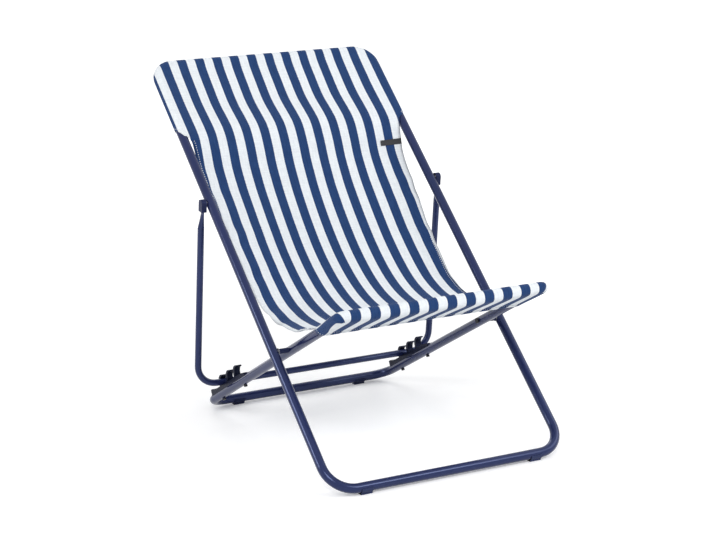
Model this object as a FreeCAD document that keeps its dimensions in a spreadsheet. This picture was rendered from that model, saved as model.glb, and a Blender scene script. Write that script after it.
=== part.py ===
"""Folding deck chair: two crossed tube loops, a prop that hooks into racks, and a striped canvas.

Millimetres and degrees. +Z is up, the sitter faces -Y, and the origin lies on the floor under the
middle of the chair. Each frame is drawn flat in its own XY plane and then tilted about X: the outer
and inner frames about the pivot where they cross, the prop about its bolts on the outer frame.
"""
import FreeCAD, Part
import math
import os
import re

import Sketcher
from FreeCAD import Placement, Rotation, Vector

SIZES = {
    # Steel tubes, axis to axis
    "tube_dia": 22,
    "tube_wall": 1.5,
    "outer_width": 590,
    "outer_length": 1210,
    "outer_bend": 63,
    "outer_head_bend": 47,
    "frame_gap": 25.5,
    "inner_length": 807,
    "inner_rear_bend": 46,
    "inner_front_bend": 28,
    "prop_dia": 16,
    "prop_wall": 1.2,
    "prop_bend": 50,
    "prop_gap": 3.5,
    # Where the frames meet, measured along each frame from its floor bar. The rack's place is that of
    # the prop's bar in the rearmost hook, and the frames' angle is the one that this hook gives.
    "pivot_on_outer": 365,
    "pivot_on_inner": 528,
    "prop_on_outer": 790,
    "rack_on_inner": 121.5,
    "frame_angle": 69.7,
    # Clearances
    "running_gap": 0.05,
    "face_gap": 0.3,
    "seat_gap": 0.1,
    # Bolts of the crossing pivot and of the prop
    "bolt_dia": 8,
    "bolt_head_dia": 13,
    "bolt_head": 4,
    "insert_wall": 1.6,
    "insert_flange": 1.5,
    "insert_rim": 2,
    "insert_depth": 9,
    "spacer_wall": 2,
    "prop_bolt_dia": 6,
    "prop_bolt_head_dia": 11,
    "prop_bolt_head": 1.6,
    # Flattened upper ends of the prop and their caps
    "flat_thick": 5,
    "flat_depth": 16,
    "flat_length": 26,
    "neck_length": 34,
    "cap_cheek": 4,
    "cap_wall": 1.4,
    "cap_below": 20,
    # Feet
    "foot_thick": 4,
    "foot_length": 28,
    "foot_width": 13,
    "foot_shell": 1.8,
    "foot_wrap": 11,
    "front_foot_from_leg": 80,
    "rear_foot_from_leg": 79,
    # Racks
    "rack_width": 20,
    "rack_floor": 5.2,
    "rack_skirt": 6,
    "rack_pitch": 47,
    "rack_tail": 69,
    "rack_stop": 10,
    "rack_stop_height": 4.5,
    "rack_nose": 50,
    "rack_nose_drop": 3.5,
    "hook_count": 3,
    "hook_width": 15,
    "hook_post": 9,
    "hook_reach": 8,
    "hook_room": 12.5,
    "hook_tip": 2.5,
    "screw_dia": 4,
    "screw_head_dia": 8.5,
    "screw_head": 5,
    "screw_from_tail": 44.5,
    "screw_from_nose": 28,
    # Canvas
    "cloth_thick": 1.5,
    "cloth_gap": 0.3,
    "head_hood": 210,
    "seat_hood": 117,
    "sling_length": 788,
    "sling_top_gap": 2,
    "sling_seat_gap": 1,
    "label_length": 58,
    "label_height": 13,
    "label_thick": 0.8,
    "label_below_hood": 92,
    "label_from_edge": 3,
}

WORKED_OUT = {
    "inner_width": "outer_width - 2 * tube_dia - 2 * frame_gap",
    "outer_reach": "outer_length - pivot_on_outer",
    "inner_reach": "inner_length - pivot_on_inner",
    "crossing_rise": "pivot_on_inner * sin(frame_angle)",
    "crossing_run": "pivot_on_outer + pivot_on_inner * cos(frame_angle)",
    "outer_tilt": "atan2(crossing_rise; crossing_run)",
    "inner_tilt": "frame_angle * 1deg - outer_tilt",
    "bar_height": "foot_thick + tube_dia / 2",
    "cloth_reach": "tube_dia / 2 + cloth_gap + cloth_thick",
    "front_edge": "tube_dia / 2 + foot_shell",
    "pivot_y": "((pivot_on_outer - outer_reach) * cos(outer_tilt) + front_edge - cloth_reach) / 2",
    "pivot_z": "bar_height + pivot_on_outer * sin(outer_tilt)",
    "prop_arm": "prop_on_outer - pivot_on_outer",
    "prop_y": "pivot_y + prop_arm * cos(outer_tilt)",
    "prop_z": "pivot_z + prop_arm * sin(outer_tilt)",
    "prop_half": "outer_width / 2 + tube_dia / 2 + prop_gap + prop_dia / 2",
    "rack_top": "tube_dia / 2 + rack_floor",
    "prop_lift": "rack_top + face_gap + prop_dia / 2",
    "prop_seat": "pivot_on_inner - rack_on_inner",
    "prop_rise": "prop_arm * sin(frame_angle) - prop_lift",
    "prop_run": "prop_seat - prop_arm * cos(frame_angle)",
    "prop_length": "sqrt(prop_rise ^ 2 + prop_run ^ 2)",
    "prop_tilt": "inner_tilt + atan2(prop_rise; prop_run)",
    "hook_near": "prop_seat + prop_dia / 2 + face_gap",
    "hook_far": "hook_near + hook_post",
    "rack_rear": "prop_seat + rack_tail",
    "rack_front": "prop_seat - (hook_count - 1) * rack_pitch - rack_nose",
    "cap_inside": "outer_width / 2 + tube_dia / 2 + insert_flange + face_gap",
    "flat_inside": "cap_inside + cap_cheek + seat_gap",
    "insert_dia": "bolt_dia + 2 * running_gap + 2 * insert_wall",
    "prop_insert_dia": "prop_bolt_dia + 2 * running_gap + 2 * insert_wall",
}

doc = FreeCAD.newDocument("deck_chair")
sheet = doc.addObject("Spreadsheet::Sheet", "Sizes")
rows = {name: str(number) for name, number in SIZES.items()}
rows.update({name: "=" + formula for name, formula in WORKED_OUT.items()})
for row, (name, text) in enumerate(rows.items(), 1):
    sheet.set(f"A{row}", name)
    sheet.set(f"B{row}", text)
    sheet.setAlias(f"B{row}", name)
doc.recompute()

SIDES = {"left": -1, "right": 1}
AXES = {
    "x": Rotation(Vector(0, 1, 0), 90),
    "y": Rotation(Vector(1, 0, 0), -90),
    "z": Rotation(),
}
FRAMES = {
    "outer": ("pivot_y", "pivot_z", "outer_tilt"),
    "inner": ("pivot_y", "pivot_z", "-inner_tilt"),
    "prop": ("prop_y", "prop_z", "-prop_tilt"),
}
# Points that the sling's curve is drawn through
SLING_POINTS = 13
pieces = {}


def bound(text):
    """An expression whose sheet names are written out in full."""
    return re.sub(r"[a-z_]+", lambda word: "Sizes." + word[0] if word[0] in rows else word[0], str(text))


def value(text):
    """The number that an expression of sheet names comes to."""
    number = sheet.evalExpression(bound(text))
    return float(getattr(number, "Value", number))


def bind(obj, **expressions):
    for prop, text in expressions.items():
        obj.setExpression(prop.replace("__", "."), bound(text))


def keep(obj, label, frame=None):
    """Name a finished piece and tilt it from its frame's own plane into the chair."""
    obj.Label = label
    pieces[label] = obj
    if frame:
        y, z, tilt = FRAMES[frame]
        obj.Placement = Placement(Vector(), Rotation(Vector(1, 0, 0), 45))
        bind(obj, Placement__Base__y=y, Placement__Base__z=z, Placement__Rotation__Angle=tilt)
    return obj


def move(obj, axis, x, y, z):
    obj.Placement = Placement(Vector(), AXES[axis])
    bind(obj, Placement__Base__x=x, Placement__Base__y=y, Placement__Base__z=z)
    return obj


def rod(name, axis, radius, length, x=0, y=0, z=0):
    """A round bar that starts at a point and runs along +axis."""
    obj = doc.addObject("Part::Cylinder", name)
    bind(obj, Radius=radius, Height=length)
    return move(obj, axis, x, y, z)


def side_rod(name, side, radius, near, length, y=0, z=0):
    """A round bar along X on one side of the chair, from its end nearest the middle outward."""
    start = near if side > 0 else f"-({near}) - ({length})"
    return rod(name, "x", radius, length, start, y, z)


def block(name, length, width, height, x=0, y=0, z=0):
    obj = doc.addObject("Part::Box", name)
    bind(obj, Length=length, Width=width, Height=height)
    return move(obj, "z", x, y, z)


def join(name, shapes):
    obj = doc.addObject("Part::MultiFuse", name)
    obj.Shapes = shapes
    return obj


def cut(name, base, tool):
    obj = doc.addObject("Part::Cut", name)
    obj.Base = base
    obj.Tool = tool
    return obj


def plane(body, role):
    return next(feature for feature in body.Origin.OriginFeatures if feature.Role == role)


def sketch_on(body, name, role, offset="0"):
    """A sketch on one of the body's origin planes, moved along that plane's normal."""
    sketch = body.newObject("Sketcher::SketchObject", name)
    sketch.AttachmentSupport = [(plane(body, role), "")]
    sketch.MapMode = "FlatFace"
    bind(sketch, AttachmentOffset__Base__z=offset)
    return sketch


def measure(sketch, kind, *where):
    """Add a dimension whose last argument is an expression."""
    *points, text = where
    number = value(text)
    if kind in ("DistanceX", "DistanceY") and number < 0:
        points = points[2:] + points[:2]
        text, number = f"-({text})", -number
    index = sketch.addConstraint(Sketcher.Constraint(kind, *points, number))
    sketch.setExpression(f"Constraints[{index}]", bound(text))


def from_origin(sketch, geometry, point, x=None, y=None):
    """Fix a point's distances from the sketch's origin."""
    for kind, text in (("DistanceX", x), ("DistanceY", y)):
        if text is not None:
            measure(sketch, kind, -1, 1, geometry, point, text)


def bent_path(body, name, points, bends):
    """Straight runs along X and Y joined by tangent arcs, with a radius for each corner."""
    sketch = sketch_on(body, name, "XY_Plane")
    at = [Vector(value(x), value(y), 0) for x, y in points]
    radii = [value(bend) for bend in bends]
    runs = [(b - a).normalize() for a, b in zip(at, at[1:])]
    last = len(runs) - 1
    for i, run in enumerate(runs):
        start = at[i] + run * (radii[i - 1] if i else 0)
        end = at[i + 1] - run * (radii[i] if i < last else 0)
        sketch.addGeometry(Part.LineSegment(start, end), False)
        if i < last:
            turn = runs[i + 1]
            middle = at[i + 1] + (turn - run) * radii[i] * (1 - math.sqrt(0.5))
            sketch.addGeometry(Part.Arc(end, middle, at[i + 1] + turn * radii[i]), False)
    for i, run in enumerate(runs):
        upright = abs(run.y) > abs(run.x)
        sketch.addConstraint(Sketcher.Constraint("Vertical" if upright else "Horizontal", 2 * i))
        if i < last:
            from_here, to_next = arc_ends(sketch, 2 * i + 1, at[i + 1] - run * radii[i])
            sketch.addConstraint(Sketcher.Constraint("Tangent", 2 * i, 2, 2 * i + 1, from_here))
            sketch.addConstraint(Sketcher.Constraint("Tangent", 2 * i + 1, to_next, 2 * i + 2, 1))
            measure(sketch, "Radius", 2 * i + 1, bends[i])
        x, y = points[i]
        closing = i == last and at[0] == at[-1]
        if not closing:
            from_origin(sketch, 2 * i, 1, **({"x": x} if upright else {"y": y}))
    from_origin(sketch, 0, 1, y=points[0][1])
    if at[0] == at[-1]:
        sketch.addConstraint(Sketcher.Constraint("Coincident", 2 * last, 2, 0, 1))
    else:
        from_origin(sketch, 2 * last, 2, y=points[-1][1])
    return sketch


def arc_ends(sketch, geometry, start):
    """Which of an arc's two ends lies at start, and which is the other."""
    first = sketch.getPoint(geometry, 1)
    return (1, 2) if first.distanceToPoint(start) < 0.01 else (2, 1)


def circle_at(body, name, dia, x, y):
    """A round section square to a path that starts at x, y and runs along Y."""
    sketch = sketch_on(body, name, "XZ_Plane", f"-({y})")
    sketch.addGeometry(Part.Circle(Vector(value(x), 0, 0), Vector(0, 0, 1), value(dia) / 2), False)
    sketch.addConstraint(Sketcher.Constraint("PointOnObject", 0, 3, -1))
    from_origin(sketch, 0, 3, x=x)
    measure(sketch, "Diameter", 0, dia)
    return sketch


def sweep(body, kind, name, section, path):
    pipe = body.newObject(f"PartDesign::{kind}Pipe", name)
    pipe.Profile = section
    pipe.Spine = (path, [f"Edge{i + 1}" for i in range(path.GeometryCount)])
    doc.recompute()
    return pipe


def bent_tube(name, points, bends, dia, wall):
    """A bent tube: the round bar, then its bore along the same path."""
    body = doc.addObject("PartDesign::Body", name)
    path = bent_path(body, name + "_path", points, bends)
    x, y = points[0]
    sweep(body, "Additive", name + "_bar", circle_at(body, name + "_round", dia, x, y), path)
    bore = circle_at(body, name + "_bore", f"{dia} - 2 * {wall}", x, y)
    sweep(body, "Subtractive", name + "_hollow", bore, path)
    return body


def loop_points(half, low, high):
    """A closed rectangle that starts in the middle of its left side."""
    corners = [(-1, high), (1, high), (1, low), (-1, low)]
    ring = [(f"{sign} * {half}", y) for sign, y in corners]
    start = (f"-1 * {half}", "0")
    return [start, *ring, start]


# Frames


def outer_frame_tube():
    """Closed loop from the front floor bar to the head bar, drilled for the inserts of both pivots."""
    points = loop_points("outer_width / 2", "-1 * pivot_on_outer", "outer_reach")
    bends = ["outer_head_bend"] * 2 + ["outer_bend"] * 2
    tube = bent_tube("outer_loop", points, bends, "tube_dia", "tube_wall")
    radius = "insert_dia / 2 + running_gap"
    holes = [rod("outer_pivot_holes", "x", radius, "outer_width", "-outer_width / 2")]
    radius = "prop_insert_dia / 2 + running_gap"
    for name, side in SIDES.items():
        hole = f"outer_prop_hole_{name}"
        holes.append(side_rod(hole, side, radius, "outer_width / 2", "tube_dia", "prop_arm"))
    keep(cut("outer_drilled", tube, join("outer_holes", holes)), "outer_frame_tube", "outer")


def screw_places():
    """The two screws of a rack, along the inner frame."""
    return {"tail": "rack_rear - screw_from_tail", "nose": "rack_front + screw_from_nose"}


def inner_frame_tube():
    """Closed loop from the rear floor bar to the front seat bar, drilled for bolts and rack screws."""
    points = loop_points("inner_width / 2", "-1 * inner_reach", "pivot_on_inner")
    bends = ["inner_rear_bend"] * 2 + ["inner_front_bend"] * 2
    tube = bent_tube("inner_loop", points, bends, "tube_dia", "tube_wall")
    length = "inner_width + tube_dia * 2"
    holes = [rod("inner_pivot_holes", "x", "bolt_dia / 2 + running_gap", length, f"-({length}) / 2")]
    for name, side in SIDES.items():
        for end, y in screw_places().items():
            at = f"{side} * inner_width / 2"
            radius = "screw_dia / 2 + running_gap"
            holes.append(rod(f"screw_hole_{name}_{end}", "z", radius, "2 * tube_dia", at, y, "-tube_dia"))
    keep(cut("inner_drilled", tube, join("inner_holes", holes)), "inner_frame_tube", "inner")


def ellipse_at(body, name, y):
    """The flattened section of the prop's right leg."""
    sketch = sketch_on(body, name, "XZ_Plane", f"-({y})")
    centre = Vector(value("flat_inside + flat_thick / 2"), 0, 0)
    long, short = value("flat_depth / 2"), value("flat_thick / 2")
    sketch.addGeometry(Part.Ellipse(centre + Vector(0, long, 0), centre + Vector(short, 0, 0), centre), False)
    sketch.exposeInternalGeometry(0)
    sketch.addConstraint(Sketcher.Constraint("PointOnObject", 0, 3, -1))
    sketch.addConstraint(Sketcher.Constraint("Vertical", 1))
    from_origin(sketch, 0, 3, x="flat_inside + flat_thick / 2")
    measure(sketch, "Distance", 1, "flat_depth")
    measure(sketch, "Distance", 2, "flat_thick")
    return sketch


def prop_tube():
    """U-shaped prop whose upper ends are squeezed flat into round lugs for their bolts."""
    top = "flat_length + neck_length"
    half = "prop_half"
    points = [(f"-1 * {half}", top), (f"-1 * {half}", "prop_length"), (half, "prop_length"), (half, top)]
    body = bent_tube("prop_tube", points, ["prop_bend"] * 2, "prop_dia", "prop_wall")
    neck = body.newObject("PartDesign::AdditiveLoft", "prop_neck")
    neck.Profile = circle_at(body, "prop_neck_round", "prop_dia", half, top)
    neck.Sections = [ellipse_at(body, "prop_neck_flat", "flat_length")]
    doc.recompute()
    flat = body.newObject("PartDesign::Pad", "prop_flat")
    flat.Profile = ellipse_at(body, "prop_flat_section", "flat_length")
    bind(flat, Length="flat_length")
    doc.recompute()
    other = body.newObject("PartDesign::Mirrored", "prop_other_end")
    other.Originals = [neck, flat]
    other.MirrorPlane = (plane(body, "YZ_Plane"), [""])
    body.Tip = other
    doc.recompute()
    ends = [body]
    for name, side in SIDES.items():
        ends.append(side_rod(f"prop_lug_{name}", side, "flat_depth / 2", "flat_inside", "flat_thick"))
    length = "2 * prop_half + prop_dia"
    hole = rod("prop_bolt_holes", "x", "prop_bolt_dia / 2 + running_gap", length, f"-({length}) / 2")
    keep(cut("prop_drilled", join("prop_with_lugs", ends), hole), "prop_tube", "prop")


# Pivots


def crossing_pivot(name, side):
    """Bolt with its head inside the inner leg, spacer sleeve, and threaded insert in the outer leg."""
    inner_face = "(inner_width - tube_dia) / 2"
    outer_face = "(outer_width - tube_dia) / 2"
    flange = f"{outer_face} - insert_flange"
    bore = "bolt_dia / 2 + running_gap"

    head_at = f"{inner_face} - face_gap - bolt_head"
    head = side_rod(f"bolt_head_{name}", side, "bolt_head_dia / 2", head_at, "bolt_head")
    shank_at = f"{inner_face} - face_gap"
    reach = f"{outer_face} + insert_depth - ({shank_at})"
    shank = side_rod(f"bolt_shank_{name}", side, "bolt_dia / 2", shank_at, reach)
    keep(join(f"bolt_{name}", [head, shank]), f"pivot_bolt_{name}", "outer")

    start = "(inner_width + tube_dia) / 2 + face_gap"
    length = f"{flange} - ({start})"
    sleeve = side_rod(f"spacer_out_{name}", side, f"{bore} + spacer_wall", start, length)
    hollow = side_rod(f"spacer_bore_{name}", side, bore, start, length)
    keep(cut(f"spacer_{name}", sleeve, hollow), f"pivot_spacer_{name}", "outer")

    threaded_insert(f"pivot_insert_{name}", side, "insert_dia", bore, flange, flange, 0)


def threaded_insert(label, side, dia, bore, flange, sleeve_at, along):
    """Rivet nut: a flange on the tube's face and a sleeve from there through its wall."""
    length = "insert_depth + insert_flange"
    rim = side_rod(label + "_rim", side, f"{dia} / 2 + insert_rim", flange, "insert_flange", along)
    sleeve = side_rod(label + "_sleeve", side, f"{dia} / 2", sleeve_at, length, along)
    hollow = side_rod(label + "_bore", side, bore, sleeve_at, length, along)
    keep(cut(label + "_cut", join(label + "_solid", [rim, sleeve]), hollow), label, "outer")


def prop_pivot(name, side):
    """Bolt through the prop's flattened end into an insert in the outer face of the outer frame."""
    face = "(outer_width + tube_dia) / 2"
    inside = f"{face} - insert_depth"
    bore = "prop_bolt_dia / 2 + running_gap"
    threaded_insert(f"prop_insert_{name}", side, "prop_insert_dia", bore, face, inside, "prop_arm")
    head_at = "flat_inside + flat_thick + face_gap"
    reach = f"{head_at} - ({inside})"
    shank = side_rod(f"prop_shank_{name}", side, "prop_bolt_dia / 2", inside, reach, "prop_arm")
    radius = "prop_bolt_head_dia / 2"
    head = side_rod(f"prop_head_{name}", side, radius, head_at, "prop_bolt_head", "prop_arm")
    keep(join(f"prop_bolt_{name}_solid", [shank, head]), f"prop_bolt_{name}", "outer")


def round_slab(name, side, near, thick, radius, below):
    """A slab across X with a round top about the prop's bolt and straight sides down from it."""
    crown = side_rod(name + "_crown", side, radius, near, thick)
    x = near if side > 0 else f"-({near}) - ({thick})"
    skirt = block(name + "_skirt", thick, below, f"2 * ({radius})", x, 0, f"-({radius})")
    return join(name, [crown, skirt])


def prop_end_cap(name, side):
    """Black cap over a lug: round on top, open below, its inner cheek slotted to slip over the bolt."""
    room = "flat_depth / 2 + seat_gap"
    room_thick = "seat_gap + flat_thick + prop_bolt_head + 2 * face_gap"
    thick = f"cap_cheek + {room_thick} + cap_wall"
    past = "cap_below + cap_wall"
    solid = round_slab(f"cap_out_{name}", side, "cap_inside", thick, f"{room} + cap_wall", "cap_below")
    hollow = round_slab(f"cap_room_{name}", side, "cap_inside + cap_cheek", room_thick, room, past)
    slot_thick = "cap_cheek + 2 * cap_wall"
    slot = round_slab(
        f"cap_slot_{name}", side, "cap_inside - cap_wall", slot_thick, "prop_bolt_dia / 2 + running_gap", past
    )
    tools = join(f"cap_tools_{name}", [hollow, slot])
    keep(cut(f"cap_{name}", solid, tools), f"prop_end_cap_{name}", "prop")


# Feet


def foot(label, side, at, bar_y):
    """Clip round the lower half of a floor bar with a flat sole under it."""
    long = "foot_length"
    start = f"{side} * {at} - foot_length / 2"
    shell = "tube_dia / 2 + foot_shell"
    clip = rod(label + "_clip", "x", shell, long, start, bar_y, "bar_height")
    sole = block(label + "_sole", long, "foot_width", "bar_height", start, f"{bar_y} - foot_width / 2")
    bar = rod(label + "_bar", "x", "tube_dia / 2 + seat_gap", long, start, bar_y, "bar_height")
    front, top = f"{bar_y} - ({shell})", "foot_thick + foot_wrap"
    above = block(label + "_above", long, f"2 * ({shell})", "tube_dia", start, front, top)
    solid = join(label + "_solid", [clip, sole])
    keep(cut(label + "_cut", solid, join(label + "_room", [bar, above])), label)


# Racks


def closed_outline(sketch, points):
    """Join points given as expressions into a closed outline of straight lines."""
    at = [Vector(value(x), value(y), 0) for x, y in points]
    for a, b in zip(at, at[1:] + at[:1]):
        sketch.addGeometry(Part.LineSegment(a, b), False)
    for i, (x, y) in enumerate(points):
        sketch.addConstraint(Sketcher.Constraint("Coincident", i, 2, (i + 1) % len(points), 1))
        from_origin(sketch, i, 1, x=x, y=y)


def pad(body, name, sketch, width):
    feature = body.newObject("PartDesign::Pad", name)
    feature.Profile = sketch
    feature.Midplane = True
    bind(feature, Length=width)
    doc.recompute()
    return feature


def hook_outline(sketch):
    """Post behind the prop's bar that curls forward over the bar and thins to a beak."""
    near, far = value("hook_near"), value("hook_far")
    floor, level = value("rack_top"), value("prop_lift")
    tip = value("prop_seat - hook_reach")
    under = level + value("hook_room")
    over = under + value("hook_tip")

    def curl(face, top):
        """The arc that leaves a post's face upright at the bar's level and ends at the beak."""
        reach = face - tip
        radius = (reach**2 + (top - level) ** 2) / (2 * reach)
        turn = math.atan2(top - level, tip - face + radius) / 2
        centre = Vector(face - radius, level, 0)
        middle = centre + Vector(math.cos(turn), math.sin(turn), 0) * radius
        return Part.Arc(Vector(face, level, 0), middle, Vector(tip, top, 0))

    corners = [Vector(near, floor, 0), Vector(far, floor, 0), Vector(far, level, 0)]
    sketch.addGeometry(Part.LineSegment(corners[0], corners[1]), False)
    sketch.addGeometry(Part.LineSegment(corners[1], corners[2]), False)
    sketch.addGeometry(curl(far, over), False)
    sketch.addGeometry(Part.LineSegment(Vector(tip, over, 0), Vector(tip, under, 0)), False)
    sketch.addGeometry(curl(near, under), False)
    sketch.addGeometry(Part.LineSegment(Vector(near, level, 0), corners[0]), False)
    for kind, *where in (
        ("Coincident", 0, 2, 1, 1),
        ("Tangent", 1, 2, 2, 1),
        ("Coincident", 2, 2, 3, 1),
        ("Coincident", 3, 2, 4, 2),
        ("Tangent", 4, 1, 5, 1),
        ("Coincident", 5, 2, 0, 1),
        ("Horizontal", 0),
        ("Vertical", 1),
        ("Vertical", 3),
        ("Vertical", 5),
    ):
        sketch.addConstraint(Sketcher.Constraint(kind, *where))
    from_origin(sketch, 0, 1, x="hook_near", y="rack_top")
    from_origin(sketch, 0, 2, x="hook_far")
    from_origin(sketch, 1, 2, y="prop_lift")
    from_origin(sketch, 5, 1, y="prop_lift")
    from_origin(sketch, 3, 1, x="prop_seat - hook_reach", y="prop_lift + hook_room + hook_tip")
    from_origin(sketch, 3, 2, y="prop_lift + hook_room")


def rack(name, side):
    """Comb that rides on an inner leg: saddle base, stop at the tail, and hooks for the prop's bar."""
    body = doc.addObject("PartDesign::Body", f"rack_{name}")
    middle = f"{side} * inner_width / 2"
    base = sketch_on(body, f"rack_base_{name}", "YZ_Plane", middle)
    skirt = "tube_dia / 2 - rack_skirt"
    stop = "rack_top + rack_stop_height"
    closed_outline(
        base,
        [
            ("rack_front", skirt),
            ("rack_front", "rack_top - rack_nose_drop"),
            ("rack_front + rack_nose / 2", "rack_top"),
            ("rack_rear - 2 * rack_stop", "rack_top"),
            ("rack_rear - rack_stop", stop),
            ("rack_rear", stop),
            ("rack_rear", skirt),
        ],
    )
    pad(body, f"rack_base_pad_{name}", base, "rack_width")
    hook = sketch_on(body, f"rack_hook_{name}", "YZ_Plane", middle)
    hook_outline(hook)
    first = pad(body, f"rack_hook_pad_{name}", hook, "hook_width")
    row = body.newObject("PartDesign::LinearPattern", f"rack_row_{name}")
    row.Originals = [first]
    row.Direction = (plane(body, "Y_Axis"), [""])
    row.Reversed = True
    bind(row, Length="rack_pitch * (hook_count - 1)", Occurrences="hook_count")
    body.Tip = row
    doc.recompute()
    tools = [rod(f"rack_saddle_{name}", "y", "tube_dia / 2 + seat_gap", "inner_length", middle, 0)]
    for end, y in screw_places().items():
        radius = "screw_dia / 2 + running_gap"
        tools.append(rod(f"rack_bore_{name}_{end}", "z", radius, "rack_top - face_gap", middle, y))
    keep(cut(f"rack_cut_{name}", body, join(f"rack_tools_{name}", tools)), f"rack_{name}", "inner")


def rack_screws(name, side):
    """Two screws that come up through the inner leg into the rack."""
    screws = []
    for end, y in screw_places().items():
        x = f"{side} * inner_width / 2"
        under = "-tube_dia / 2 - seat_gap"
        reach = f"rack_top - 2 * face_gap - ({under})"
        shank = rod(f"screw_shank_{name}_{end}", "z", "screw_dia / 2", reach, x, y, under)
        below = f"{under} - screw_head"
        head = rod(f"screw_head_{name}_{end}", "z", "screw_head_dia / 2", "screw_head", x, y, below)
        screws.append(join(f"screw_{name}_{end}", [shank, head]))
    pair = doc.addObject("Part::Compound", f"screws_{name}")
    pair.Links = screws
    keep(pair, f"rack_screws_{name}", "inner")


# Canvas


def hood(label, frame, half, bend, mouth, bar):
    """Pocket over the end of a loop: a sheet on each face of the tubes and a half round along them."""
    body = doc.addObject("PartDesign::Body", label + "_body")
    points = [(f"-1 * {half}", mouth), (f"-1 * {half}", bar), (half, bar), (half, mouth)]
    path = bent_path(body, label + "_path", points, [bend] * 2)
    section = sketch_on(body, label + "_edge", "XZ_Plane", f"-({mouth})")
    inner, outer = value("cloth_reach - cloth_thick"), value("cloth_reach")
    centre = Vector(-value(half), 0, 0)
    up, out = Vector(0, 1, 0), Vector(-1, 0, 0)
    section.addGeometry(Part.Arc(centre + up * outer, centre + out * outer, centre - up * outer), False)
    section.addGeometry(Part.LineSegment(centre - up * outer, centre - up * inner), False)
    section.addGeometry(Part.Arc(centre - up * inner, centre + out * inner, centre + up * inner), False)
    section.addGeometry(Part.LineSegment(centre + up * inner, centre + up * outer), False)
    for constraint in (
        Sketcher.Constraint("Coincident", 0, 2, 1, 1),
        Sketcher.Constraint("Coincident", 1, 2, 2, 2),
        Sketcher.Constraint("Coincident", 2, 1, 3, 1),
        Sketcher.Constraint("Coincident", 3, 2, 0, 1),
        Sketcher.Constraint("Coincident", 0, 3, 2, 3),
        Sketcher.Constraint("Vertical", 1),
        Sketcher.Constraint("Vertical", 3),
        Sketcher.Constraint("PointOnObject", 0, 3, -1),
        Sketcher.Constraint("PointOnObject", 0, 3, 3),
    ):
        section.addConstraint(constraint)
    from_origin(section, 0, 3, x=f"-1 * {half}")
    measure(section, "Radius", 0, "cloth_reach")
    measure(section, "Radius", 2, "cloth_reach - cloth_thick")
    sweep(body, "Additive", label + "_edge_sweep", section, path)
    for face, height in (("front", "cloth_reach - cloth_thick"), ("back", "-cloth_reach")):
        sheet_sketch = bent_path(body, f"{label}_{face}", points, [bend] * 2)
        bind(sheet_sketch, AttachmentOffset__Base__z=height)
        last = sheet_sketch.GeometryCount - 1
        ends = [sheet_sketch.getPoint(last, 2), sheet_sketch.getPoint(0, 1)]
        sheet_sketch.addGeometry(Part.LineSegment(*ends), False)
        sheet_sketch.addConstraint(Sketcher.Constraint("Coincident", last, 2, last + 1, 1))
        sheet_sketch.addConstraint(Sketcher.Constraint("Coincident", last + 1, 2, 0, 1))
        layer = body.newObject("PartDesign::Pad", f"{label}_{face}_pad")
        layer.Profile = sheet_sketch
        bind(layer, Length="cloth_thick")
        doc.recompute()
    keep(body, label, frame)


def in_chair(frame, along, out):
    """World Y and Z of a point in a frame's own plane, along its legs and out from them."""
    y, z, tilt = (value(text) for text in FRAMES[frame])
    turn = math.radians(tilt)
    return (
        y + along * math.cos(turn) - out * math.sin(turn),
        z + along * math.sin(turn) + out * math.cos(turn),
    )


class Catenary:
    """The curve of a hanging sheet of given length between two points."""

    def __init__(self, low, high, length):
        span, rise = high[0] - low[0], high[1] - low[1]
        slack = math.sqrt(length**2 - rise**2)
        least, most = span / 100, span * 100
        while most - least > 1e-9:
            self.scale = (least + most) / 2
            if 2 * self.scale * math.sinh(span / (2 * self.scale)) > slack:
                least = self.scale
            else:
                most = self.scale
        middle = (low[0] + high[0]) / 2
        self.bottom = middle - self.scale * math.atanh(rise / length)
        self.base = low[1] - self.scale * math.cosh((low[0] - self.bottom) / self.scale)

    def at(self, y, out=0):
        """A point of the curve, moved off it along its upper normal."""
        steep = math.sinh((y - self.bottom) / self.scale)
        height = self.base + self.scale * math.cosh((y - self.bottom) / self.scale)
        size = math.hypot(1, steep)
        return Vector(0, y - out * steep / size, height + out / size)

    def tilt(self, y):
        return math.degrees(math.atan(math.sinh((y - self.bottom) / self.scale)))

    def below_end(self, y, length):
        """The Y that lies a length of cloth before the point at y."""
        along = math.sinh((y - self.bottom) / self.scale) - length / self.scale
        return self.bottom + self.scale * math.asinh(along)


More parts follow.
